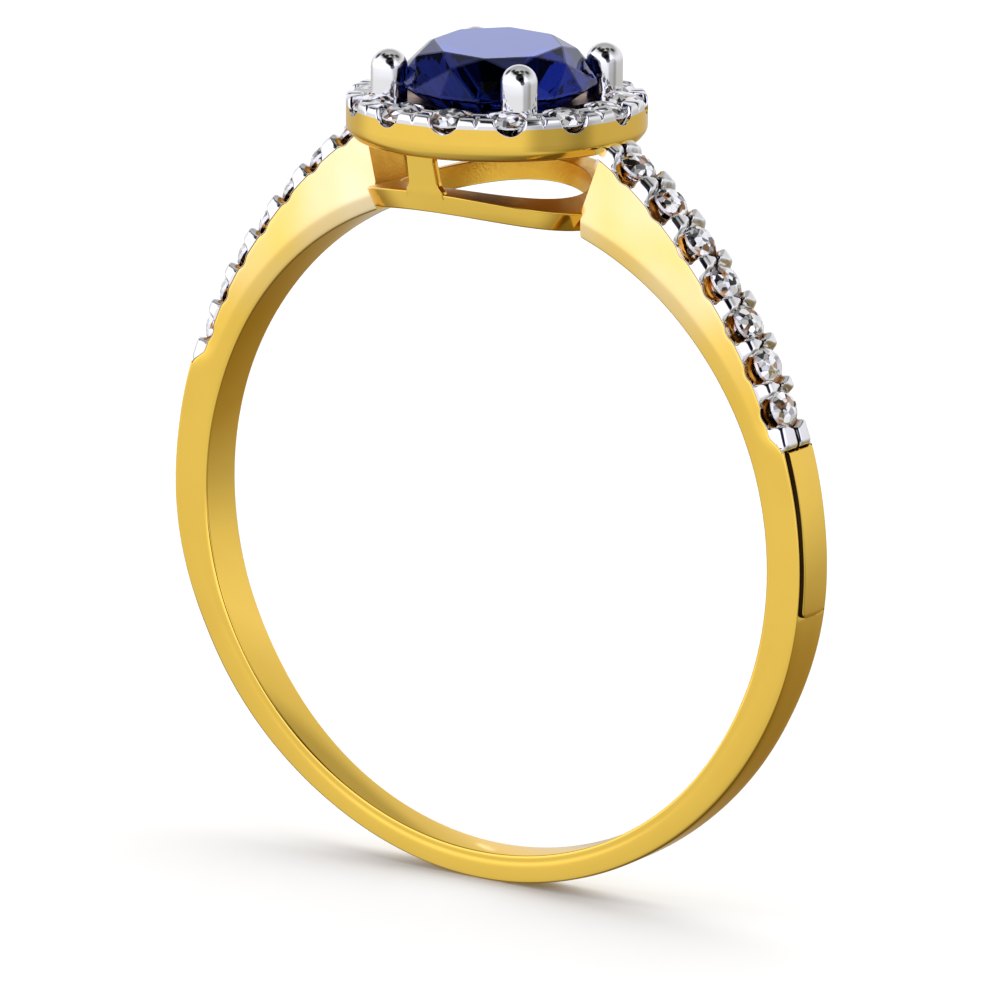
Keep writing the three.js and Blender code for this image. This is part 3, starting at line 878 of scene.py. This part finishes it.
# ---- Claws ----
def claw(index):
    """A straight round prong with a domed tip."""
    node = f"claw_{index + 1}"
    angle = math.pi / 4 + index * math.pi / 2
    radius, reach, dome, sides = 0.465, 2.75, 0.45, 48
    shaft_rows, dome_rows = 6, 16
    shoulder = CLAW_TOP - dome
    profile = [(radius, z) for z in np.linspace(HALO_INSIDE_Z, shoulder, shaft_rows)]
    for t in np.linspace(0.06, 0.97, dome_rows):
        lift = t * math.pi / 2
        profile.append((radius * math.cos(lift), shoulder + (CLAW_TOP - shoulder) * math.sin(lift)))
    turn = np.linspace(0, 2 * math.pi, sides, endpoint=False)
    rows = [np.stack([r * np.cos(turn), r * np.sin(turn), z + 0 * turn], -1) for r, z in profile]
    points = np.concatenate(rows + [np.array([[0, 0, CLAW_TOP]])])
    points = points + np.array([reach * math.cos(angle), reach * math.sin(angle), 0])
    faces = grid_faces(len(rows), sides)
    last = (len(rows) - 1) * sides
    faces += [(last + j, len(points) - 1, last + (j + 1) % sides) for j in range(sides)]
    faces = [face[::-1] for face in faces]
    faces.append(tuple(range(sides))[::-1])
    name = f"claw_tip_{index + 1}"
    piece = make_piece(name, points, faces, [WHITE], sharp=math.radians(60), weighted=False)
    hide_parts(node)


# ---- Stones ----
FOLD = 8
GIRDLE_FACETS = 2 * FOLD


def brilliant(table, star, girdle, crown, edge, pavilion, lower=0.75):
    """A round brilliant with its girdle's lower edge at z = 0, as points and flat facets.

    Table, star and girdle are radii; crown, edge and pavilion are heights; lower is how far the lower
    girdle facets reach from the girdle to the culet.
    """
    half_turn = math.pi / FOLD
    points = []

    def ring(count, radius, z, shift):
        first = len(points)
        for i in range(count):
            a = (i + shift) * 2 * math.pi / count
            points.append((radius * math.cos(a), radius * math.sin(a), z))
        return [first + i for i in range(count)]

    across = star * math.cos(half_turn)
    star_z = edge + crown - crown * (across - table) / (girdle - table)
    tables = ring(FOLD, table, edge + crown, 0.5)
    stars = ring(FOLD, star, star_z, 0)
    uppers = ring(GIRDLE_FACETS, girdle, edge, 0)
    lowers = ring(GIRDLE_FACETS, girdle, 0, 0)
    keel = girdle * (1 - lower)
    keels = ring(FOLD, keel, -pavilion * (1 - keel * math.cos(half_turn) / girdle), 0)
    points.append((0, 0, -pavilion))
    culet = len(points) - 1
    faces = [tuple(tables)]
    for i in range(FOLD):
        j = (i + 1) % FOLD
        main, left, right = 2 * i + 1, 2 * i, (2 * i + 2) % GIRDLE_FACETS
        faces.append((tables[i - 1], stars[i], tables[i]))
        faces.append((tables[i], stars[i], uppers[main], stars[j]))
        faces.append((stars[i], uppers[left], uppers[main]))
        faces.append((stars[j], uppers[main], uppers[right]))
        faces.append((culet, keels[j], lowers[main], keels[i]))
        faces.append((keels[i], lowers[main], lowers[left]))
        faces.append((keels[j], lowers[right], lowers[main]))
    for i in range(GIRDLE_FACETS):
        j = (i + 1) % GIRDLE_FACETS
        faces.append((uppers[i], lowers[i], lowers[j], uppers[j]))
    return np.array(points), faces


def stone_piece(name, shape, matrix, material, slot, node):
    """A faceted stone set by a matrix; its last facets are the girdle, frosted on the diamonds."""
    points, faces = shape
    placed = points @ matrix[:3, :3].T + matrix[:3, 3]
    girdle_slot = 1 if slot == "diamond" else 0
    slots = [0] * (len(faces) - GIRDLE_FACETS) + [girdle_slot] * GIRDLE_FACETS
    materials = [material, FROSTED]
    piece = make_piece(name, placed, faces, materials, slots, sharp=math.radians(1), weighted=False)
    piece.data.polygons.foreach_set("use_smooth", [False] * len(piece.data.polygons))
    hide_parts(node)
    return piece


def frame_matrix(along, across, out, place):
    """A placement from three unit axes and a point."""
    matrix = np.eye(4)
    matrix[:3, 0], matrix[:3, 1], matrix[:3, 2], matrix[:3, 3] = along, across, out, place
    return matrix


ROW_CUT = brilliant(table=0.25, star=0.35, girdle=ROW_STONE_R, crown=0.2, edge=0.08, pavilion=0.43)
HALO_CUT = brilliant(table=0.29, star=0.375, girdle=HALO_STONE_R, crown=0.16, edge=0.05, pavilion=0.40)
GEM_GIRDLE_Z = 11.5
GEM_EDGE = 0.08
GEM_TILT = math.radians(4.2)
GEM = brilliant(
    table=1.65, star=2.05, girdle=2.55, crown=GEM_TABLE_Z - GEM_GIRDLE_Z - GEM_EDGE,
    edge=GEM_EDGE, pavilion=GEM_GIRDLE_Z - GEM_CULET_Z, lower=0.78,
)


def shoulder_stones(name, side, prefix):
    """The row's diamonds, each square to the rim under it and spun a little further than the last."""
    spin_step, right_start = 13.0, 7
    across = np.array([0.0, 1.0, 0.0])
    for k in range(ROW_STONES):
        angle = ROW_FIRST + k * ROW_PITCH
        near = [on_band(float(rim_radius(a)), side * a, 0.0) for a in (angle - 1, angle + 1)]
        along = (near[1] - near[0]) / np.linalg.norm(near[1] - near[0]) * side
        out = np.cross(along, across)
        place = on_band(float(rim_radius(angle)), side * angle, 0.0) - out * ROW_GIRDLE_DROP
        spin = np.radians(spin_step * k + (right_start if side > 0 else 0))
        turned = math.cos(spin) * along + math.sin(spin) * across
        matrix = frame_matrix(turned, np.cross(out, turned), out, place)
        node = f"{prefix}_diamond_{k + 1}"
        stone_piece(f"{name}_{k + 1}", ROW_CUT, matrix, DIAMOND_REFLECTIONS, "diamond", node)


def halo_stones():
    """The halo's diamonds, leaning outwards, each spun a little further than the last."""
    spin_step = 0.31
    girdle_z = HALO_TOP - HALO_GIRDLE_DROP
    for k in range(HALO_STONES):
        angle = 2 * math.pi * k / HALO_STONES
        east, north = math.cos(angle), math.sin(angle)
        place = np.array([HALO_CIRCLE * east, HALO_CIRCLE * north, girdle_z])
        spin = angle + spin_step * k
        out = np.array([math.sin(HALO_LEAN) * east, math.sin(HALO_LEAN) * north, math.cos(HALO_LEAN)])
        across = np.cross(out, np.array([math.cos(spin), math.sin(spin), 0]))
        across = across / np.linalg.norm(across)
        matrix = frame_matrix(np.cross(across, out), across, out, place)
        node = f"halo_diamond_{k + 1}"
        stone_piece(f"halo_stone_{k + 1}", HALO_CUT, matrix, DIAMOND_REFLECTIONS, "diamond", node)


def centre_stone():
    """The sapphire, tipped towards the camera so that its table mirrors the blue patch of the studio."""
    level = np.array([math.cos(CAMERA_AZIMUTH), math.sin(CAMERA_AZIMUTH), 0])
    away = np.array([-level[1], level[0], 0])
    up = np.array([0, 0, 1.0])
    out = math.cos(GEM_TILT) * up - math.sin(GEM_TILT) * away
    leaned = math.cos(GEM_TILT) * away + math.sin(GEM_TILT) * up
    along = level[0] * level - level[1] * leaned
    across = level[1] * level + level[0] * leaned
    matrix = frame_matrix(along, across, out, np.array([0, 0, GEM_GIRDLE_Z]))
    gem = stone_piece("centre_sapphire", GEM, matrix, BLUE, "sapphire", "sapphire")
    edges = gem.modifiers.new("softened_edges", "BEVEL")
    edges.width = 0.03 * MM
    edges.segments = 1
    edges.limit_method = "ANGLE"
    edges.angle_limit = math.radians(4)


# ---- Build the ring ----
shank()
shoulder_row("left_setting", -1, "left_pave_rail")
shoulder_row("right_setting", 1, "right_pave_rail")
pave_plate()
halo_band()
gallery_rail()
gallery_post("front_post", -1, "gallery_post_front")
gallery_post("back_post", 1, "gallery_post_back")
for claw_index in range(4):
    claw(claw_index)
centre_stone()
halo_stones()
shoulder_stones("left_stone", -1, "left")
shoulder_stones("right_stone", 1, "right")

# The centre seat takes the dark rose-brown painted shade.
seat = frame["nodes"]["centre_seat"]
seat.data.materials.clear()
seat.data.materials.append(SEAT_SHADE)


# ---- Floor, light and camera ----
FLOOR_Z = cad_bounds[0][2]
TOP_LIGHT = 3.8
TOP_LIGHT_WIDTH = math.radians(110)
TOP_LIGHT_LEAN = math.radians(-33)

# The tent round the ring: (sine of the elevation, brightness, blue against red), brightness up to TENT.
TENT = 4.0
FRONT_LIGHT = [
    (-1, 0.4, 1), (-0.8, 0.75, 1), (-0.3, 0.87, 1), (-0.2, 0.9, 1), (-0.1, 1.4, 1.1), (0.3, 1.5, 1.25),
    (0.6, 1.4, 1.15), (0.8, 0.9, 1), (0.87, 0.03, 1), (0.94, 0.03, 1), (0.97, 0.9, 1),
]
BACK_LIGHT = [
    (-1, 0.1, 0.4), (-0.6, 0.3, 0.35), (-0.45, 0.38, 0.5), (-0.25, 0.56, 0.9), (-0.05, 0.85, 1),
    (0.12, 0.95, 1.05), (0.25, 1.0, 1.1), (0.42, 0.85, 1.02), (0.52, 0.8, 1), (0.62, 0.5, 1),
    (0.8, 0.5, 1), (0.97, 0.6, 1),
]

# Patches on the tent: (direction, (cosine where it begins, cosine where it is full), cover, colour).
BLACK = (0, 0, 0)
TABLE_BLUE = (1.38, 1.5, 2.28)
PATCHES = [
    ((0.966, -0.10, -0.20), (0.84, 0.96), 0.45, BLACK),
    ((0.45, -0.57, 0.69), (0.87, 0.95), 0.97, BLACK),
    ((0.66, -0.60, 0.45), (0.93, 0.97), 0.95, BLACK),
    ((0.80, -0.58, 0.12), (0.955, 0.98), 0.9, BLACK),
    ((-0.82, 0.06, 0.56), (0.95, 0.99), 0.9, BLACK),
    ((-0.50, -0.06, 0.86), (0.975, 0.995), 0.9, BLACK),
    ((-0.08, -0.20, 0.975), (0.965, 0.99), 0.95, BLACK),
    ((0.20, 0.10, 0.975), (0.975, 0.993), 0.9, BLACK),
    ((0.42, 0.42, 0.80), (0.965, 0.99), 0.9, BLACK),
    ((-0.5238, 0.7901, 0.3183), (0.9993, 0.9998), 1.0, TABLE_BLUE),
]


def floor():
    """A white sheet under the ring that the polished pieces do not mirror."""
    size, cuts = 3.0, 12
    dark, light = (0.69, 0.69, 0.67), (0.71, 0.71, 0.69)
    line = np.linspace(-size, size, cuts)
    points = [(x, y, FLOOR_Z) for x in line for y in line]
    faces = grid_faces(cuts, cuts, wrap_columns=False)
    mesh = bpy.data.meshes.new("studio_floor")
    mesh.from_pydata(points, [], [face[::-1] for face in faces])
    material, tree, shader = new_material("floor_white")
    shader.inputs["Roughness"].default_value = 0.9
    shader.inputs["Specular IOR Level"].default_value = 0.1
    drive_colour(tree, add_noise(tree, 6, 2), shader.inputs["Base Color"], dark, light)
    mesh.materials.append(material)
    piece = bpy.data.objects.new("studio_floor", mesh)
    bpy.context.scene.collection.objects.link(piece)
    piece.visible_glossy = False
    piece.visible_transmission = False


def top_light():
    """Wide overhead light that lays the soft shadow on the floor; the tent alone shows in the metal."""
    light = bpy.data.lights.new("top_light", "SUN")
    light.angle = TOP_LIGHT_WIDTH
    light.energy = TOP_LIGHT
    lamp = bpy.data.objects.new("top_light", light)
    lamp.location = (0, 0, 0.2)
    lamp.rotation_euler = (TOP_LIGHT_LEAN, 0, 0)
    lamp.visible_glossy = False
    lamp.visible_transmission = False
    bpy.context.scene.collection.objects.link(lamp)


def brightness_by_height(tree, height, stops):
    """The tent's colour for a height of 0 (straight down) to 1 (straight up), as a part of TENT."""
    green_loss = 0.35
    ramp = tree.nodes.new("ShaderNodeValToRGB")
    elements = ramp.color_ramp.elements
    for _ in stops[2:]:
        elements.new(0.5)
    for element, (z, level, blue) in zip(elements, stops):
        element.position = (z + 1) / 2
        green = 1 - green_loss * max(1 - blue, 0)
        element.color = (level / TENT, level * green / TENT, level * blue / TENT, 1)
    tree.links.new(height, ramp.inputs["Fac"])
    return ramp.outputs["Color"]


def tent_colour(tree, direction):
    """The front tent melting into the darker back one behind the ring."""
    half_blend = 0.25
    split = tree.nodes.new("ShaderNodeSeparateXYZ")
    tree.links.new(direction, split.inputs["Vector"])
    height = map_range(tree, split.outputs["Z"], -1, 1)
    front = brightness_by_height(tree, height.outputs["Result"], FRONT_LIGHT)
    back = brightness_by_height(tree, height.outputs["Result"], BACK_LIGHT)
    behind = map_range(tree, split.outputs["Y"], -half_blend, half_blend)
    behind.interpolation_type = "SMOOTHSTEP"
    tent = mix_colour(tree, behind.outputs["Result"], front)
    tree.links.new(back, tent.inputs["B"])
    return tent.outputs["Result"]


def hang_patch(tree, direction, colour, patch):
    """The tent's colour with one soft round patch over it."""
    centre, reach, cover, tint = patch
    facing = vector_maths(tree, "DOT_PRODUCT", direction)
    facing.inputs[1].default_value = centre
    share = map_range(tree, facing.outputs["Value"], *reach, most=cover)
    share.interpolation_type = "SMOOTHSTEP"
    shaded = mix_colour(tree, share.outputs["Result"], colour)
    shaded.inputs["B"].default_value = (*(part / TENT for part in tint), 1)
    return shaded.outputs["Result"]


def studio_world():
    """The tent and its patches light the ring; the camera itself sees plain white."""
    plain_white = 1.05
    world = bpy.data.worlds.new("studio")
    bpy.context.scene.world = world
    world.use_nodes = True
    tree = world.node_tree
    direction = tree.nodes.new("ShaderNodeTexCoord").outputs["Generated"]
    colour = tent_colour(tree, direction)
    for patch in PATCHES:
        colour = hang_patch(tree, direction, colour, patch)
    background = tree.nodes["Background"]
    background.inputs["Strength"].default_value = TENT
    tree.links.new(colour, background.inputs["Color"])
    plain = tree.nodes.new("ShaderNodeBackground")
    plain.inputs["Color"].default_value = (1, 1, 1, 1)
    plain.inputs["Strength"].default_value = plain_white
    rays = tree.nodes.new("ShaderNodeLightPath")
    mix = tree.nodes.new("ShaderNodeMixShader")
    tree.links.new(rays.outputs["Is Camera Ray"], mix.inputs["Fac"])
    tree.links.new(background.outputs["Background"], mix.inputs[1])
    tree.links.new(plain.outputs["Background"], mix.inputs[2])
    tree.links.new(mix.outputs["Shader"], tree.nodes["World Output"].inputs["Surface"])


CAMERA_DISTANCE = 0.2
CAMERA_SIDE, CAMERA_RISE = 0.000154, 0.000632
CAMERA_LENS = 283.7


def studio_camera():
    """A long lens, right of the front and a little above, aimed close to the centre of the finger hole."""
    az, el, roll = CAMERA_AZIMUTH, CAMERA_ELEVATION, CAMERA_ROLL
    back = Vector((math.sin(az) * math.cos(el), -math.cos(az) * math.cos(el), math.sin(el)))
    level = Vector((math.cos(az), math.sin(az), 0))
    upright = back.cross(level)
    right = math.cos(roll) * level + math.sin(roll) * upright
    up = -math.sin(roll) * level + math.cos(roll) * upright
    camera = bpy.data.objects.new("camera", bpy.data.cameras.new("camera"))
    camera.data.lens = CAMERA_LENS
    camera.data.sensor_width = 36
    camera.data.clip_start = 0.01
    camera.data.clip_end = 20
    place = back * CAMERA_DISTANCE + right * CAMERA_SIDE + up * CAMERA_RISE
    axes = Matrix((right, up, back)).transposed().to_4x4()
    camera.matrix_world = Matrix.Translation(place) @ axes
    bpy.context.scene.collection.objects.link(camera)
    bpy.context.scene.camera = camera


floor()
top_light()
studio_world()
studio_camera()
bpy.context.scene.view_settings.view_transform = "Standard"
